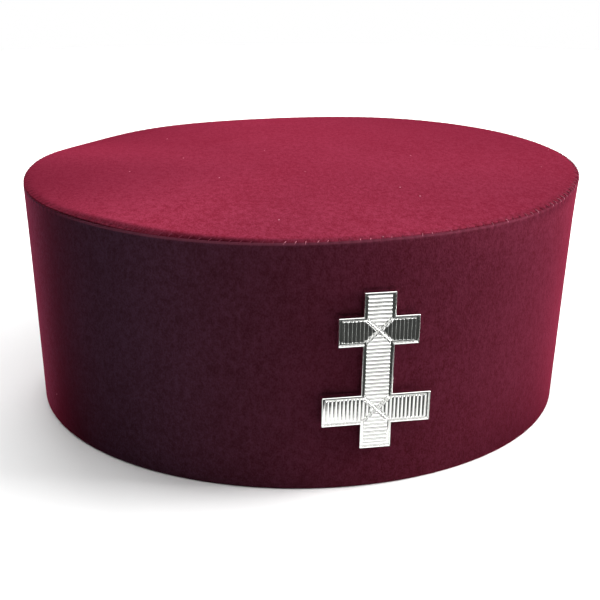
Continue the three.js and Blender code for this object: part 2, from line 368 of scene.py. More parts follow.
def crown_section():
    """The crown's section as (r, z) points from the top's centre to the underside's centre,
    with the number of points on the velvet. The top rises by CROWN_DOME (1 - (r / edge)^2), and
    drops near its edge by EDGE_DROP t^3, t from 0 to 1 over EDGE_WIDE. Its steps are even and
    then, in the outer tenth, each 0.78 of the one before."""
    roll_r = CROWN_EDGE_R - ROLL_R
    roll_z = CROWN_Z - EDGE_DROP - ROLL_R
    r = roll_r * np.concatenate([np.linspace(0.02, 0.9, 26), 1 - 0.1 * 0.78 ** np.arange(1, 15)])
    drop = EDGE_DROP * np.clip(1 - (roll_r - r) / EDGE_WIDE, 0, 1) ** 3
    top = np.stack([r, CROWN_Z + CROWN_DOME * (1 - (r / roll_r) ** 2) - drop], axis=-1)
    under_z = CROWN_Z - CROWN_THICK
    roll = arc(roll_r, roll_z, ROLL_R, 90, -90, 11)
    tuck = [[roll_r - TUCK_IN, roll_z - 1.25 * ROLL_R], [roll_r - 1.2 * TUCK_IN, under_z]]
    velvet = np.concatenate([top, roll, tuck])
    under = straight([roll_r - WALL, under_z], [0, under_z], 8)
    return np.concatenate([velvet, under]), len(velvet)


def crown_top(materials):
    """The crown: its section turned round the axis, closed at both poles, with a stitch-drawn
    edge and a slightly uneven top."""
    section, velvet = crown_section()
    r, z = section[:, :1], section[:, 1:]
    angle = column_angle[None, :]
    face = np.zeros_like(r)
    face[:velvet - 1] = 1
    near_rim = face * np.exp(-(((CROWN_EDGE_R - r) / RIM_REACH) ** 2))
    mid_face = face * np.clip(1 - (r / CROWN_EDGE_R) ** 4, 0, 1)
    pull = stitch_pull(angle)
    uneven = plane_waves(r * np.sin(angle), -r * np.cos(angle), 9, (45 * MM, 150 * MM))
    z = z + mid_face * CROWN_UNEVEN * uneven
    z = z - near_rim * (RIM_DRAWN_DOWN * pull + humps(angle, RIM_SAGS) * MM)
    r = r + near_rim * (RIM_LAP * crown_lap(angle) - RIM_DRAWN_IN * pull)
    r = r + near_rim * humps(angle, RIM_SWELLS) * MM
    rings = leaned(r, z, angle).reshape(-1, 3)
    middle_z = leaned(r, z, angle)[[0, -1], :, 2].mean(axis=1)
    poles = np.stack([[0, 0], [0, 0], middle_z], axis=-1)
    points = np.concatenate([rings, poles])
    quads = ring_quads(len(section), COLUMNS)[:, ::-1]
    column = np.arange(COLUMNS)
    beside = (column + 1) % COLUMNS
    last = (len(section) - 1) * COLUMNS
    top_fan = np.stack([np.full(COLUMNS, len(rings)), column, beside], axis=-1)
    under_fan = np.stack([np.full(COLUMNS, len(rings) + 1), last + beside, last + column], axis=-1)
    faces = quads.tolist() + top_fan.tolist() + under_fan.tolist()
    row = np.arange(len(quads)) // COLUMNS
    row = np.concatenate([row, np.zeros(COLUMNS), np.full(COLUMNS, len(section))])
    # painted light and shade on the crown, partly for the way its pile lies, with painted shade in the
    # crease at the front left of its rim
    out = np.clip(r / CROWN_EDGE_R, 0, 1) ** 1.5
    nap_and_shading = out * humps(angle, CROWN_NAP_AND_SHADING) + near_rim * humps(angle, RIM_NAP_AND_SHADING)
    piece = add_piece("crown_top_velvet", points, faces, materials,
                      face_material=row >= velvet - 1, uv=points[:, :2],
                      marks={"nap_and_shading": np.append(np.clip(nap_and_shading, -0.9, 1), [0, 0])})
    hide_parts("crown_top")


# ---- the whip stitches ------------------------------------------------------
THREAD_R = 0.10 * MM
STITCH_START = 0.05 * MM  # below the middle of the band's fold
STITCH_END = 0.08 * MM  # above the crown's edge
STITCH_BITE = 1.0 * MM  # and this far in from it
STITCH_SINK = 0.20 * MM  # how far both its ends sink into the cloth
STITCH_SLANT = 0.8 * MM  # and lie apart round the cap, with a spread
SLANT_SPREAD = 0.25 * MM
STITCH_BOW = 0.12 * MM
TIGHTEST = 0.09 * MM  # how far in the tightest thread lies
PLACE_SPREAD = 0.05  # of the distance from one stitch to the next
STRAY_CHANCE = 0.03  # of a stitch painted with a glint anywhere
GLINT_RANGE = (0.3, 0.8)  # how much paler its painted glint makes it


def whip_stitches(material):
    """The stitches over the seam, as one mesh of short bent threads. Along s from -1 to 1 a
    thread climbs from the band's fold to the crown's edge, bows up by bow (1 - s^2) over the
    crease, sinks into the cloth at both ends by STITCH_SINK s^6 and thins as 1 - 0.35 s^4."""
    steps = 9
    sides = 6
    s = np.linspace(-1, 1, steps)[None, :]
    up = (s + 1) / 2
    slant = sewing.normal(STITCH_SLANT, SLANT_SPREAD, (STITCHES, 1)) / TOP_R
    moved = sewing.normal(0, PLACE_SPREAD, (STITCHES, 1))
    place = (np.arange(STITCHES)[:, None] + moved) / STITCHES * TAU
    bow = STITCH_BOW + humps(place, STITCH_BOWS) * MM
    tightness = sewing.uniform(0, TIGHTEST, (STITCHES, 1))
    low_z = FOLD_Z - STITCH_START - seam_dip(place)
    high_z = CROWN_Z - EDGE_DROP + STITCH_END
    low_r = band_radius(FOLD_Z)
    high_r = CROWN_EDGE_R - STITCH_BITE
    r = low_r + (high_r - low_r) * up**1.5 - tightness - STITCH_SINK * s**6
    z = low_z + (high_z - low_z) * up + bow * (1 - s**2) - STITCH_SINK * s**6
    path = leaned(r, z, place + slant * s / 2)
    ahead = np.gradient(path, axis=1)
    ahead /= np.linalg.norm(ahead, axis=-1, keepdims=True)
    round_the_cap = np.stack([np.cos(place), np.sin(place), 0 * place], axis=-1)
    across = round_the_cap - ahead * np.sum(ahead * round_the_cap, axis=-1, keepdims=True)
    across /= np.linalg.norm(across, axis=-1, keepdims=True)
    out = np.cross(ahead, across)
    a = (np.arange(sides) / sides * TAU)[None, None, :, None]
    width = (THREAD_R * (1 - 0.35 * s**4))[..., None, None]
    # which stitches are painted paler, as glints of light
    chance = STRAY_CHANCE + humps(place, GLINTING_STITCHES)
    thread_glint = sewing.uniform(0, 1, (STITCHES, 1)) < chance
    thread_glint = thread_glint * sewing.uniform(*GLINT_RANGE, (STITCHES, 1))
    ring = path[:, :, None] + width * (np.cos(a) * across[:, :, None] + np.sin(a) * out[:, :, None])
    offset = (np.arange(STITCHES) * steps * sides)[:, None, None]
    tube = (ring_quads(steps, sides)[None] + offset).reshape(-1, 4)
    first = np.arange(sides)[None, ::-1] + offset[..., 0]
    last = (steps - 1) * sides + np.arange(sides)[None, :] + offset[..., 0]
    faces = tube.tolist() + first.tolist() + last.tolist()
    add_piece("crown_stitches", ring, faces, [material],
              marks={"thread_glint": np.broadcast_to(thread_glint[:, :, None], ring.shape[:3])})


# ---- the cross badge --------------------------------------------------------
# In the badge's own frame x runs across, y up the shaft, and z out of the face from the back.
BADGE_Z = 40.4 * MM  # the badge's centre above the base rim
BADGE_X = -0.5 * MM  # and from the front line
BADGE_TURN = math.radians(-2.7)  # its face looks this far towards +X, as it was pinned on
BADGE_LEAN = math.radians(-0.4)  # its top leans this far towards -X
SHAFT_WIDTH = 9.8 * MM
SHAFT_HEIGHT = 51.2 * MM
BARS = ((25.0 * MM, 9.4 * MM, 13.2 * MM), (34.0 * MM, 9.8 * MM, -12.5 * MM))  # width, height, y
BADGE_THICK = 2.6 * MM  # from its back to the top of the border
RIB_TOP = BADGE_THICK - 0.10 * MM
RIB_DEPTH = 0.44 * MM
RIB_CURVE = 1.7  # a rib's section falls as this power of the distance from its crest
SHAFT_RIB_PITCH = 1.25 * MM
BAR_RIB_PITCH = 1.22 * MM
RIB_SHARES = np.array([-0.44, -0.34, -0.2, 0, 0.2, 0.34, 0.44, 0.5])  # grid lines on a rib
MITRE_RISE = 0.12 * MM  # raised lines on the diagonals of a crossing
MITRE_HALF = 0.20 * MM
MITRE_FALL = 0.5 * MM  # how far its rounded section falls over that half width
MITRE_GROOVE = 0.40 * MM  # depth of the groove on each side of it
MITRE_GROOVE_AWAY = 0.40 * MM
MITRE_GROOVE_WIDE = 0.15 * MM
CORNER_R = 0.30 * MM  # outer corners, rounded in plan

# the casting's face at a distance in from its outline, and how far it is below the border's top:
# border bead, channel with a floor that slopes a little outwards, side of the panel
MARGIN_IN = np.array([0, 0.03, 0.07, 0.13, 0.19, 0.25, 0.31, 0.37, 0.41, 0.44, 0.48, 0.51,
                      1.13, 1.16, 1.20, 1.25, 1.32]) * MM
MARGIN_DROP = np.array([0.30, 0.20, 0.11, 0.035, 0.002, 0.002, 0.035, 0.11, 0.20, 0.30, 0.62, 0.72,
                        0.65, 0.60, 0.44, 0.24, 0.08]) * MM
CHANNEL_END = 1.13 * MM
PAST_MARGIN = -0.1 * MM  # further in the margin stands clear above the panel
RIB_CLEAR = 0.03 * MM  # a rib's grid line stays this far off the margin's lines
CROSSING_STEP = 0.13 * MM  # grid steps over the crossings
CROSSING_CLEAR = 0.07 * MM
# the casting's sides, from the face to the back: height, and how far out of the outline
SIDE_Z = np.array([2.20, 2.05, 1.30, 0.50, 0.36, 0.25, 0.15, 0.04, 0.0]) * MM
SIDE_OUT = np.array([0.01, 0.01, 0.01, 0.01, 0.015, 0.025, 0.045, 0.05, 0.03]) * MM


def bar_edges():
    """y of each bar's two edges, with the direction into the metal: -1 down, 1 up."""
    return [(y + side * high / 2, -side) for _, high, y in BARS for side in (1, -1)]


def knots(edges, half_length, pitch, crossings):
    """Grid lines across one direction: each margin step in from each edge, then the rib steps
    that stay RIB_CLEAR off those and, over the crossings, even fine steps that stay
    CROSSING_CLEAR off all before."""
    lines = np.unique(np.concatenate([edge + inward * MARGIN_IN for edge, inward in edges]))
    ribs = ((np.arange(-30, 31)[:, None] + RIB_SHARES) * pitch).ravel()
    ribs = ribs[np.abs(ribs) < half_length]
    steps = [np.arange(low + CROSSING_STEP, high, CROSSING_STEP) for low, high in crossings]
    for more, clear in ((ribs, RIB_CLEAR), (np.concatenate(steps), CROSSING_CLEAR)):
        away = np.abs(more[:, None] - lines).min(axis=1) > clear
        lines = np.unique(np.concatenate([lines, more[away]]))
    return lines.round(8)


def depth_in(x, y):
    """Distance in from the cross's outline: the largest, over the shaft and the two bars, of
    the smaller of width / 2 - |x| and height / 2 - |y - middle|."""
    shaft = np.minimum(SHAFT_WIDTH / 2 - np.abs(x), SHAFT_HEIGHT / 2 - np.abs(y))
    bars = [np.minimum(wide / 2 - np.abs(x), high / 2 - np.abs(y - mid)) for wide, high, mid in BARS]
    return np.maximum.reduce([shaft, *bars])


def ribbed(t, pitch):
    """Height of the ribs at t: RIB_TOP - RIB_DEPTH |2 f|^RIB_CURVE, with f from -1/2 to 1/2
    over a rib."""
    f = t / pitch - np.round(t / pitch)
    return RIB_TOP - RIB_DEPTH * np.abs(2 * f) ** RIB_CURVE


def face_height(x, y):
    """Height of the casting's face: the margin, or the ribbed panel where that is lower. The
    ribs run up the bars' arms and across the shaft, and meet on the diagonals of each crossing
    under a raised line whose rounded section falls by MITRE_FALL (s / MITRE_HALF)^2. A groove
    of section exp(-((s - MITRE_GROOVE_AWAY) / MITRE_GROOVE_WIDE)^2) is cut in the ribs on each
    side of it."""
    d = depth_in(x, y)
    margin = BADGE_THICK - np.interp(d, MARGIN_IN, MARGIN_DROP, right=PAST_MARGIN)
    upper, lower = BARS
    half_high = np.where(y > 0, upper[1], lower[1]) / 2
    u = np.abs(x) / (SHAFT_WIDTH / 2)
    v = np.abs(y - np.where(y > 0, upper[2], lower[2])) / half_high
    panel = np.where((v < 1) & (u > v), ribbed(x, BAR_RIB_PITCH), ribbed(y, SHAFT_RIB_PITCH))
    off_diagonal = np.abs(u - v) / np.hypot(2 / SHAFT_WIDTH, 1 / half_high)
    mitre = RIB_TOP + MITRE_RISE - MITRE_FALL * (off_diagonal / MITRE_HALF) ** 2
    from_groove = (off_diagonal - MITRE_GROOVE_AWAY) / MITRE_GROOVE_WIDE
    groove = MITRE_GROOVE * np.exp(-(from_groove**2))
    panel = np.where((u < 1) & (v < 1), np.maximum(panel - groove, mitre), panel)
    return np.where(d < CHANNEL_END, margin, np.minimum(margin, panel))


def round_corners(x, y):
    """Outer corners turned into quarter circles: the square of (u, v), 0 to 1, behind a corner
    goes to (u sqrt(1 - v^2 / 2), v sqrt(1 - u^2 / 2)). end takes in the points on its rim."""
    end = 1.001
    corners = [(SHAFT_WIDTH / 2, side * SHAFT_HEIGHT / 2, side) for side in (1, -1)]
    for wide, high, mid in BARS:
        corners += [(wide / 2, mid + side * high / 2, side) for side in (1, -1)]
    for corner_x, corner_y, up in corners:
        for right in (1, -1):
            u = (right * x - corner_x) / CORNER_R + 1
            v = up * (y - corner_y) / CORNER_R + 1
            inside = (u > 0) & (v > 0) & (u < end) & (v < end)
            moved_u = u * np.sqrt(np.clip(1 - v**2 / 2, 0, 1))
            moved_v = v * np.sqrt(np.clip(1 - u**2 / 2, 0, 1))
            x = np.where(inside, right * (corner_x + CORNER_R * (moved_u - 1)), x)
            y = np.where(inside, corner_y + up * CORNER_R * (moved_v - 1), y)
    return x, y


def outline_loop(xs, ys, index):
    """Grid vertices on the cross's outline, anticlockwise from the foot's right corner."""
    right = [(SHAFT_WIDTH / 2, -SHAFT_HEIGHT / 2)]
    for wide, high, mid in reversed(BARS):
        low, top = mid - high / 2, mid + high / 2
        right += [(SHAFT_WIDTH / 2, low), (wide / 2, low), (wide / 2, top), (SHAFT_WIDTH / 2, top)]
    right += [(SHAFT_WIDTH / 2, SHAFT_HEIGHT / 2)]
    corners = right + [(-x, y) for x, y in reversed(right)]
    columns = [int(np.abs(xs - x).argmin()) for x, _ in corners]
    rows = [int(np.abs(ys - y).argmin()) for _, y in corners]
    loop = []
    for i in range(len(corners)):
        j = (i + 1) % len(corners)
        steps = max(abs(columns[j] - columns[i]), abs(rows[j] - rows[i]))
        along_x = np.linspace(columns[i], columns[j], steps, endpoint=False).round().astype(int)
        along_y = np.linspace(rows[i], rows[j], steps, endpoint=False).round().astype(int)
        loop.append(index[along_y, along_x])
    return np.concatenate(loop)


def seated(x, y, z):
    """Badge points in the cap's frame. The badge is leant, then turned about its shaft, then
    tipped out with the band's flare, and its back is GAP off the band where they are nearest."""
    lean, turn, tip = BADGE_LEAN, BADGE_TURN, math.atan(FLARE)
    x, y = x * math.cos(lean) - y * math.sin(lean), x * math.sin(lean) + y * math.cos(lean)
    x, out = x * math.cos(turn) + z * math.sin(turn), z * math.cos(turn) - x * math.sin(turn)
    nearest = band_radius(BADGE_Z) + GAP
    standing = (nearest - BADGE_X * math.sin(turn)) / math.cos(turn)
    return np.stack([
        BADGE_X + x,
        -standing - y * math.sin(tip) - out * math.cos(tip),
        BADGE_Z + y * math.cos(tip) - out * math.sin(tip),
    ], axis=-1)


def cross_badge(material):
    """The badge: a height field over a grid whose lines follow the borders and ribs, walled
    down to a flat back."""
    widths = (SHAFT_WIDTH, BARS[0][0], BARS[1][0])
    ends = [(side * wide / 2, -side) for wide in widths for side in (1, -1)]
    xs = knots(ends, BARS[1][0] / 2, BAR_RIB_PITCH, [(-SHAFT_WIDTH / 2, SHAFT_WIDTH / 2)])
    rims = [(SHAFT_HEIGHT / 2, -1), (-SHAFT_HEIGHT / 2, 1), *bar_edges()]
    crossings = [(mid - high / 2, mid + high / 2) for _, high, mid in BARS]
    ys = knots(rims, SHAFT_HEIGHT / 2, SHAFT_RIB_PITCH, crossings)
    middle_x = (xs[1:] + xs[:-1]) / 2
    middle_y = (ys[1:] + ys[:-1]) / 2
    row, column = np.nonzero(depth_in(middle_x[None, :], middle_y[:, None]) > 0)
    stride = len(xs)
    start = row * stride + column
    quads = np.stack([start, start + 1, start + stride + 1, start + stride], axis=-1)
    used = np.unique(quads)
    index = np.full(len(xs) * len(ys), -1)
    index[used] = np.arange(len(used))
    grid_x, grid_y = (g.ravel()[used] for g in np.meshgrid(xs, ys))
    height = face_height(grid_x, grid_y)
    x, y = round_corners(grid_x, grid_y)
    loop = outline_loop(xs, ys, index.reshape(len(ys), stride))
    edge = np.stack([x[loop], y[loop]], axis=-1)
    along = np.roll(edge, -1, axis=0) - np.roll(edge, 1, axis=0)
    outward = np.stack([along[:, 1], -along[:, 0]], axis=-1)
    outward /= np.linalg.norm(outward, axis=-1, keepdims=True)
    walls = edge[None] + SIDE_OUT[:, None, None] * outward[None]
    wall_z = np.broadcast_to(SIDE_Z[:, None], walls.shape[:2])
    sides = seated(walls[..., 0], walls[..., 1], wall_z).reshape(-1, 3)
    points = np.concatenate([seated(x, y, height), sides])
    lower_rings = len(x) + np.arange(len(sides)).reshape(len(SIDE_Z), -1)
    rings = np.concatenate([loop[None], lower_rings])
    beside = np.roll(rings, -1, axis=1)
    side_quads = np.stack([rings[1:], beside[1:], beside[:-1], rings[:-1]], axis=-1).reshape(-1, 4)
    faces = index[quads].tolist() + side_quads.tolist() + [rings[-1][::-1].tolist()]
    piece = add_piece("cross_badge_plated", points, faces, [material])
    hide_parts("cross_badge")


# ---- shader building --------------------------------------------------------
def add_node(tree, kind, values=(), **settings):
    """A shader node with its settings, and its inputs set to values or linked to sockets."""
    made = tree.nodes.new(kind)
    for name, value in settings.items():
        setattr(made, name, value)
    for name, value in dict(values).items():
        if isinstance(value, bpy.types.NodeSocket):
            tree.links.new(value, made.inputs[name])
        else:
            made.inputs[name].default_value = value
    return made


def maths(tree, operation, a, b=0.0):
    """The result of a Math node."""
    return add_node(tree, "ShaderNodeMath", {0: a, 1: b}, operation=operation).outputs[0]


def mixed(tree, share, a, b):
    """Colour a to colour b by share."""
    return add_node(tree, "ShaderNodeMix", {0: share, 6: a, 7: b}, data_type="RGBA").outputs[2]


def ranged(tree, value, low, high, to_low=0.0, to_high=1.0):
    """value taken smoothly from the range low..high to another."""
    values = {"Value": value, "From Min": low, "From Max": high, "To Min": to_low, "To Max": to_high}
    return add_node(tree, "ShaderNodeMapRange", values, interpolation_type="SMOOTHSTEP").outputs[0]


def noise(tree, vector, scale, detail=2.0, roughness=0.5, distortion=0.0):
    """Noise from 0 to 1 at scale features a metre."""
    values = {"Vector": vector, "Scale": scale, "Detail": detail, "Roughness": roughness,
              "Distortion": distortion}
    return add_node(tree, "ShaderNodeTexNoise", values).outputs["Fac"]


def stretched(tree, vector, lengths, turn=0.0):
    """Coordinates for a pattern made longer by lengths along its axes, turned about Z."""
    values = {"Vector": vector, "Rotation": (0, 0, math.radians(turn)), "Scale": lengths}
    return add_node(tree, "ShaderNodeMapping", values, vector_type="TEXTURE").outputs[0]


def effect(name, inputs, outputs):
    """A node group with named inputs and outputs: the tree, its inputs and its output node."""
    tree = bpy.data.node_groups.new(name, "ShaderNodeTree")
    for label, kind in inputs:
        tree.interface.new_socket(label, in_out="INPUT", socket_type=kind)
    for label, kind in outputs:
        tree.interface.new_socket(label, in_out="OUTPUT", socket_type=kind)
    return tree, tree.nodes.new("NodeGroupInput").outputs, tree.nodes.new("NodeGroupOutput")


def placed(tree, group, values):
    """An effect placed in a material: its outputs."""
    return add_node(tree, "ShaderNodeGroup", values, node_tree=group).outputs


def marked(tree, mark):
    """The number that a piece's points carry under a name."""
    return add_node(tree, "ShaderNodeAttribute", attribute_name=mark).outputs["Fac"]


def bumped(tree, shader, height, strength, distance):
    """The shader's surface raised by height, up to distance, as strongly as strength says."""
    bump = add_node(tree, "ShaderNodeBump",
                    {"Height": height, "Strength": strength, "Distance": distance})
    tree.links.new(bump.outputs[0], shader.inputs["Normal"])


def new_material(name):
    """A new material with its tree, its shader and the object's own coordinates."""
    material = bpy.data.materials.new(name)
    material.use_nodes = True
    tree = material.node_tree
    shader = tree.nodes["Principled BSDF"]
    return material, tree, shader, tree.nodes.new("ShaderNodeTexCoord").outputs["Object"]


# ---- effects ----------------------------------------------------------------
PILE_GRAIN = 2000  # features a metre in the velvet, from fine to broad
PILE_TUFTS = 700
PILE_MOTTLE = 150
PILE_PATCHES = 17
LINT_CELLS = 130  # places a metre where a speck of lint can lie
LINT_SIZE = 0.032  # a speck's radius, as a share of such a place
CLOTH_MOTTLE = 900  # features a metre in the lining and the thread
SMEARS = 140  # and on handled metal


def cut_pile_effect():
    """Velvet pile: fine grain, tufts, soft mottling and broad patches where the nap has been
    pressed another way, as a colour and a height, and a mask of caught lint."""
    colour, number, vector = "NodeSocketColor", "NodeSocketFloat", "NodeSocketVector"
    tree, given, result = effect(
        "cut_pile",
        [("Surface", vector), ("Deep", colour), ("Bright", colour), ("Patch Contrast", number),
         ("Lint Share", number)],
        [("Colour", colour), ("Height", number), ("Lint", number)],
    )
    surface = given["Surface"]
    grain = maths(tree, "MULTIPLY", noise(tree, surface, PILE_GRAIN, 1.0, 0.6), 0.50)
    tufts = maths(tree, "MULTIPLY", noise(tree, surface, PILE_TUFTS, 1.0, 0.5), 0.35)
    mottle = maths(tree, "MULTIPLY", noise(tree, surface, PILE_MOTTLE, 3.0, 0.6), 0.15)
    patches = noise(tree, surface, PILE_PATCHES, 4.0, 0.55, 0.5)
    fine = maths(tree, "ADD", maths(tree, "ADD", grain, tufts), mottle)
    broad = maths(tree, "MULTIPLY", maths(tree, "SUBTRACT", patches, 0.5), given["Patch Contrast"])
    level = ranged(tree, maths(tree, "ADD", fine, broad), 0.30, 0.70)
    pile = mixed(tree, level, given["Deep"], given["Bright"])
    cells = add_node(tree, "ShaderNodeTexVoronoi",
                     {"Vector": surface, "Scale": LINT_CELLS, "Randomness": 1.0}, feature="F1")
    chosen = add_node(tree, "ShaderNodeSeparateColor", {"Color": cells.outputs["Color"]}).outputs[0]
    speck = maths(tree, "LESS_THAN", cells.outputs["Distance"], LINT_SIZE)
    lint = maths(tree, "MULTIPLY", speck, maths(tree, "LESS_THAN", chosen, given["Lint Share"]))
    tree.links.new(pile, result.inputs["Colour"])
    tree.links.new(fine, result.inputs["Height"])
    tree.links.new(lint, result.inputs["Lint"])
    return tree


def woven_effect():
    """Plain weave on cloth coordinates in metres: the over and under threads as a height,
    |sin(pi N u) + sin(pi N v)| / 2 with N threads to a metre, and a soft mottling as a shade."""
    number, vector = "NodeSocketFloat", "NodeSocketVector"
    tree, given, result = effect(
        "plain_weave", [("Cloth", vector), ("Threads", number)], [("Height", number), ("Shade", number)]
    )
    cloth = add_node(tree, "ShaderNodeSeparateXYZ", {"Vector": given["Cloth"]}).outputs
    turn = maths(tree, "MULTIPLY", given["Threads"], math.pi)
    warp = maths(tree, "SINE", maths(tree, "MULTIPLY", cloth[0], turn))
    weft = maths(tree, "SINE", maths(tree, "MULTIPLY", cloth[1], turn))
    height = maths(tree, "ABSOLUTE", maths(tree, "ADD", warp, weft))
    tree.links.new(maths(tree, "MULTIPLY", height, 0.5), result.inputs["Height"])
    tree.links.new(noise(tree, given["Cloth"], CLOTH_MOTTLE), result.inputs["Shade"])
    return tree


def handling_effect():
    """Polished metal that has been handled: faint wiping marks, and small pits, Marks of them
    to a metre."""
    number, vector = "NodeSocketFloat", "NodeSocketVector"
    tree, given, result = effect(
        "handling", [("Surface", vector), ("Marks", number)], [("Smear", number), ("Height", number)]
    )
    smear = noise(tree, given["Surface"], SMEARS, 3.0, 0.6, 0.8)
    marks = noise(tree, stretched(tree, given["Surface"], (6, 6, 1)), given["Marks"], 2.0, 0.6)
    tree.links.new(smear, result.inputs["Smear"])
    tree.links.new(marks, result.inputs["Height"])
    return tree


# ---- finishes ---------------------------------------------------------------
# The crown is the same velvet as the band, but its colours are lighter: partly for the way its pile lies,
# partly painted light on the top.
BAND_COLOURS = ((0.037, 0.0044, 0.0080, 1), (0.064, 0.0099, 0.0194, 1))  # between tufts, on tips
CROWN_COLOURS = ((0.070, 0.0057, 0.0117, 1), (0.117, 0.0156, 0.0312, 1))
# the paler colour along the fold: worn pile, and also the fold's painted highlight
WORN_PILE_AND_HIGHLIGHT = (0.18, 0.042, 0.068, 1)
PILE_SHEEN = (0.44, 0.032, 0.078, 1)
PAINTED_SHADE_TINT = (1.0, 3.2, 2.9)  # more green and blue: the cooler, greyer colour painted as shade on the band's shaded side
LINT = (0.32, 0.15, 0.19, 1)
BRUSHED_TURN = -14  # degrees from the axes
LINING_COLOURS = ((0.020, 0.012, 0.014, 1), (0.055, 0.030, 0.036, 1))
LINING_THREADS = 1400  # to a metre
THREAD_COLOURS = ((0.05, 0.006, 0.014, 1), (0.15, 0.018, 0.04, 1))
# the paler thread colour, a painted glint of light
THREAD_GLINT = (0.50, 0.17, 0.23, 1)
PLATING_COLOURS = ((0.80, 0.81, 0.79, 1), (0.93, 0.93, 0.91, 1))
STEEL_COLOURS = ((0.46, 0.46, 0.47, 1), (0.62, 0.62, 0.63, 1))


def velvet(name, pile, colours, brushed, patch_contrast, lint_share):
    """Short-pile velvet: dark between the tufts, bright on their tips, with a strong sheen.
    brushed is how much longer the pattern is along each axis, the way the pile is brushed. The
    piece's marks lighten and darken it with painted light and shade, partly for the way the pile
    lies, give it a cooler colour as painted shade on the band's shaded side, and make it paler
    along the fold, as worn pile and as the fold's painted highlight."""
    material, tree, shader, place = new_material(name)
    out = placed(tree, pile, {
        "Surface": stretched(tree, place, brushed, BRUSHED_TURN),
        "Deep": colours[0],
        "Bright": colours[1],
        "Patch Contrast": patch_contrast,
        "Lint Share": lint_share,
    })
    # lighter and darker by the painted light and shade that the piece carries
    lightness = maths(tree, "ADD", marked(tree, "nap_and_shading"), 1.0)
    lit = add_node(tree, "ShaderNodeVectorMath", {0: out["Colour"], "Scale": lightness},
                   operation="SCALE").outputs[0]
    # a cooler colour, painted as the shade on the band's shaded side
    cool = add_node(tree, "ShaderNodeVectorMath", {0: lit, 1: PAINTED_SHADE_TINT},
                    operation="MULTIPLY").outputs[0]
    lit = mixed(tree, marked(tree, "shade_tint"), lit, cool)
    # paler along the fold, as worn pile and as the fold's painted highlight
    colour = mixed(tree, marked(tree, "worn_and_highlight"), lit, WORN_PILE_AND_HIGHLIGHT)
    tree.links.new(mixed(tree, out["Lint"], colour, LINT), shader.inputs["Base Color"])
    shader.inputs["Roughness"].default_value = 0.92
    shader.inputs["Specular IOR Level"].default_value = 0.0
    shader.inputs["Sheen Weight"].default_value = 0.5
    shader.inputs["Sheen Roughness"].default_value = 0.35
    shader.inputs["Sheen Tint"].default_value = PILE_SHEEN
    bumped(tree, shader, out["Height"], strength=0.35, distance=0.3 * MM)
    return material


def lining_cloth(weave):
    """The dark woven cloth inside the band and under the crown."""
    material, tree, shader, _ = new_material("inside_cloth")
    cloth = add_node(tree, "ShaderNodeUVMap", uv_map="cloth").outputs[0]
    out = placed(tree, weave, {"Cloth": cloth, "Threads": LINING_THREADS})
    tree.links.new(mixed(tree, out["Shade"], *LINING_COLOURS), shader.inputs["Base Color"])
    shader.inputs["Roughness"].default_value = 0.85
    bumped(tree, shader, out["Height"], strength=0.4, distance=0.25 * MM)
    return material


def sewing_thread():
    """Crimson thread, a little lighter than the velvet, and painted paler by the piece's mark, as a glint
    of light on some stitches.
    """
    material, tree, shader, place = new_material("sewing_thread")
    dyed = mixed(tree, noise(tree, place, CLOTH_MOTTLE), *THREAD_COLOURS)
    tree.links.new(mixed(tree, marked(tree, "thread_glint"), dyed, THREAD_GLINT), shader.inputs["Base Color"])
    shader.inputs["Roughness"].default_value = 0.8
    shader.inputs["Specular IOR Level"].default_value = 0.04
    return material


def bright_plating(handling):
    """Silver-coloured bright plating, slightly smeared and pitted."""
    material, tree, shader, place = new_material("bright_plating")
    out = placed(tree, handling, {"Surface": place, "Marks": 1800})
    shader.inputs["Metallic"].default_value = 1.0
    tree.links.new(mixed(tree, out["Smear"], *PLATING_COLOURS), shader.inputs["Base Color"])
    roughness = ranged(tree, out["Smear"], 0.3, 0.7, to_low=0.04, to_high=0.09)
    tree.links.new(roughness, shader.inputs["Roughness"])
    bumped(tree, shader, out["Height"], strength=0.12, distance=0.05 * MM)
    return material


def satin_steel(handling):
    """Plain brushed steel for the fixing inside the band."""
    material, tree, shader, place = new_material("satin_steel")
    out = placed(tree, handling, {"Surface": place, "Marks": 2600})
    shader.inputs["Metallic"].default_value = 1.0
    tree.links.new(mixed(tree, out["Smear"], *STEEL_COLOURS), shader.inputs["Base Color"])
    roughness = ranged(tree, out["Height"], 0.3, 0.7, to_low=0.32, to_high=0.5)
    tree.links.new(roughness, shader.inputs["Roughness"])
    bumped(tree, shader, out["Height"], strength=0.25, distance=0.05 * MM)
    return material


# ---- the stage --------------------------------------------------------------
FLOOR_R = 1.0
FLOOR_SIDES = 64
FLOOR_DROP = 0.05 * MM  # so that the hem, which stands on z = 0, doesn't cut it
FLOOR_COLOURS = ((0.86, 0.86, 0.86, 1), (0.88, 0.88, 0.88, 1))
CARD_COLOURS = ((0.006, 0.007, 0.006, 1), (0.012, 0.013, 0.012, 1))
CARD_LIFT = 0.5 * MM  # above z = 0
# the card's edge towards the cap, from right to left, and its far corners
CARD_NEAR = ((2.5, -0.08), (0.060, -0.095), (0.010, -0.140), (-0.020, -0.152), (-0.060, -0.146),
             (-0.090, -0.128), (-0.108, -0.090), (-0.130, -0.050), (-2.5, -0.050))
CARD_FAR = ((-2.5, -3.5), (2.5, -3.5))


def flat_sheet(name, corners, z, material):
    """A flat sheet of the stage, facing up, from its corners in anticlockwise order."""
    mesh = bpy.data.meshes.new(name)
    mesh.from_pydata([(x, y, z) for x, y in corners], [], [range(len(corners))])
    mesh.materials.append(material)
    made = bpy.data.objects.new(name, mesh)
    bpy.context.scene.collection.objects.link(made)
    return made


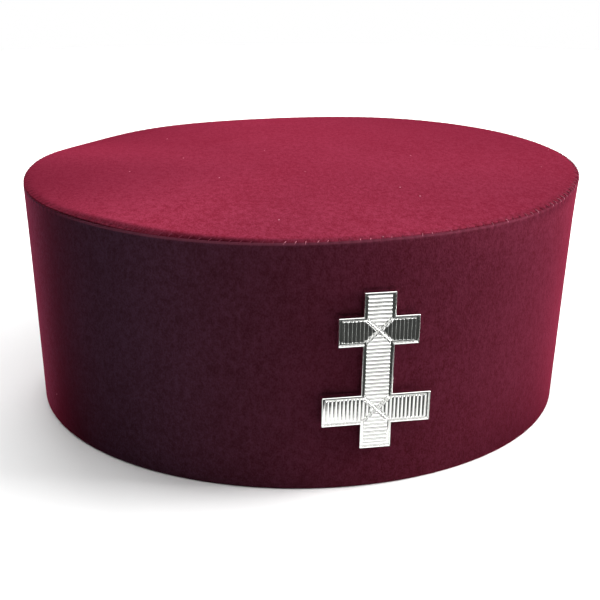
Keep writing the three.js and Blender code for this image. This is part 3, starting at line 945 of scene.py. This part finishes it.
def floor():
    """A plain pale round floor."""
    material, tree, shader, place = new_material("pale_floor")
    tree.links.new(mixed(tree, noise(tree, place, 3.0, 3.0), *FLOOR_COLOURS), shader.inputs["Base Color"])
    shader.inputs["Roughness"].default_value = 0.9
    shader.inputs["Specular IOR Level"].default_value = 0.1
    turns = np.arange(FLOOR_SIDES) / FLOOR_SIDES * TAU
    rim = [(FLOOR_R * math.cos(turn), FLOOR_R * math.sin(turn)) for turn in turns]
    flat_sheet("floor", rim, -FLOOR_DROP, material)


def dark_card():
    """A dark card lying in front of the cap, which only mirrors see: the studio's usual way of
    giving bright metal its contrast."""
    material, tree, shader, place = new_material("dark_card")
    tree.links.new(mixed(tree, noise(tree, place, 5.0), *CARD_COLOURS), shader.inputs["Base Color"])
    shader.inputs["Specular IOR Level"].default_value = 0.08
    card = flat_sheet("dark_card", CARD_FAR + CARD_NEAR, CARD_LIFT, material)
    card.visible_camera = False
    card.visible_diffuse = False
    card.visible_shadow = False
    card.visible_transmission = False


def soft_light(name, place, aim, size, watts):
    """A square soft light at a place, turned to an aim."""
    data = bpy.data.lights.new(name, "AREA")
    data.size = size
    data.energy = watts
    lamp = bpy.data.objects.new(name, data)
    lamp.location = place
    lamp.rotation_euler = (Vector(aim) - Vector(place)).to_track_quat("-Z", "Y").to_euler()
    bpy.context.scene.collection.objects.link(lamp)


def surroundings(seen, lighting):
    """Pale light from all round: one strength where the camera or a mirror sees it, another for
    what it lights, and for that it is dimmer from the front left."""
    world = bpy.data.worlds.new("studio")
    world.use_nodes = True
    tree = world.node_tree
    white = (1, 1, 1, 1)
    dim = (0.05, 0.05, 0.05, 1)
    front_left = (-0.80, -0.60, 0)
    towards = tree.nodes.new("ShaderNodeTexCoord").outputs["Generated"]
    leftness = add_node(tree, "ShaderNodeVectorMath", {0: towards, 1: front_left},
                        operation="DOT_PRODUCT").outputs["Value"]
    background = tree.nodes["Background"]
    colour = mixed(tree, ranged(tree, leftness, -0.1, 0.8), white, dim)
    scattered = tree.nodes.new("ShaderNodeLightPath").outputs["Is Diffuse Ray"]
    tree.links.new(mixed(tree, scattered, white, colour), background.inputs["Color"])
    strength = maths(tree, "ADD", seen, maths(tree, "MULTIPLY", scattered, lighting - seen))
    tree.links.new(strength, background.inputs["Strength"])
    bpy.context.scene.world = world


def camera():
    """The camera: 72 mm on a 36 mm sensor, 14 degrees to the left of the front and 17.8 degrees
    above the middle of the cap, and aimed a little lower than that middle."""
    azimuth = math.radians(-14)
    elevation = math.radians(17.775)
    distance = 452.7 * MM
    middle = Vector((0, 0, 40.6 * MM))
    right = Vector((math.cos(azimuth), math.sin(azimuth), 0))
    front = Vector((math.sin(azimuth), -math.cos(azimuth), 0))
    up = Vector((0, 0, 1))
    aim = middle + right * 0.3 * MM - up * 11.2 * MM
    data = bpy.data.cameras.new("camera")
    data.lens = 72
    data.sensor_width = 36
    data.clip_start = 0.01
    data.clip_end = 50
    seen_from = bpy.data.objects.new("camera", data)
    seen_from.location = middle + (front * math.cos(elevation) + up * math.sin(elevation)) * distance
    seen_from.rotation_euler = (aim - seen_from.location).to_track_quat("-Z", "Y").to_euler()
    bpy.context.scene.collection.objects.link(seen_from)
    bpy.context.scene.camera = seen_from


# ---- putting it together ----------------------------------------------------
camera()
pile = cut_pile_effect()
weave = woven_effect()
handling = handling_effect()
inside_cloth = lining_cloth(weave)
band_velvet = velvet("band_velvet", pile, BAND_COLOURS, brushed=(1, 1, 1.3), patch_contrast=0.2,
                     lint_share=0.05)
crown_velvet = velvet("crown_velvet", pile, CROWN_COLOURS, brushed=(1, 1.8, 1), patch_contrast=0.25,
                      lint_share=0.5)

side_band([band_velvet, inside_cloth])
crown_top([crown_velvet, inside_cloth])
whip_stitches(sewing_thread())
cross_badge(bright_plating(handling))
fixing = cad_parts["badge_fixing"]
fixing.data.materials.clear()
fixing.data.materials.append(satin_steel(handling))

floor()
dark_card()
surroundings(seen=1.0, lighting=0.32)
soft_light("overhead", (0.1, -0.35, 1.2), aim=(0, 0, 0.05), size=1.2, watts=9)
soft_light("from_behind", (0.1, 1.2, 0.9), aim=(0, 0, 0.05), size=1.0, watts=19)
soft_light("behind_left", (-0.75, 1.1, 0.35), aim=(0, 0, 0.05), size=0.6, watts=10)
soft_light("from_the_right", (1.3, -0.25, 0.5), aim=(0, 0, 0.04), size=0.8, watts=50)
bpy.context.scene.view_settings.view_transform = "Standard"
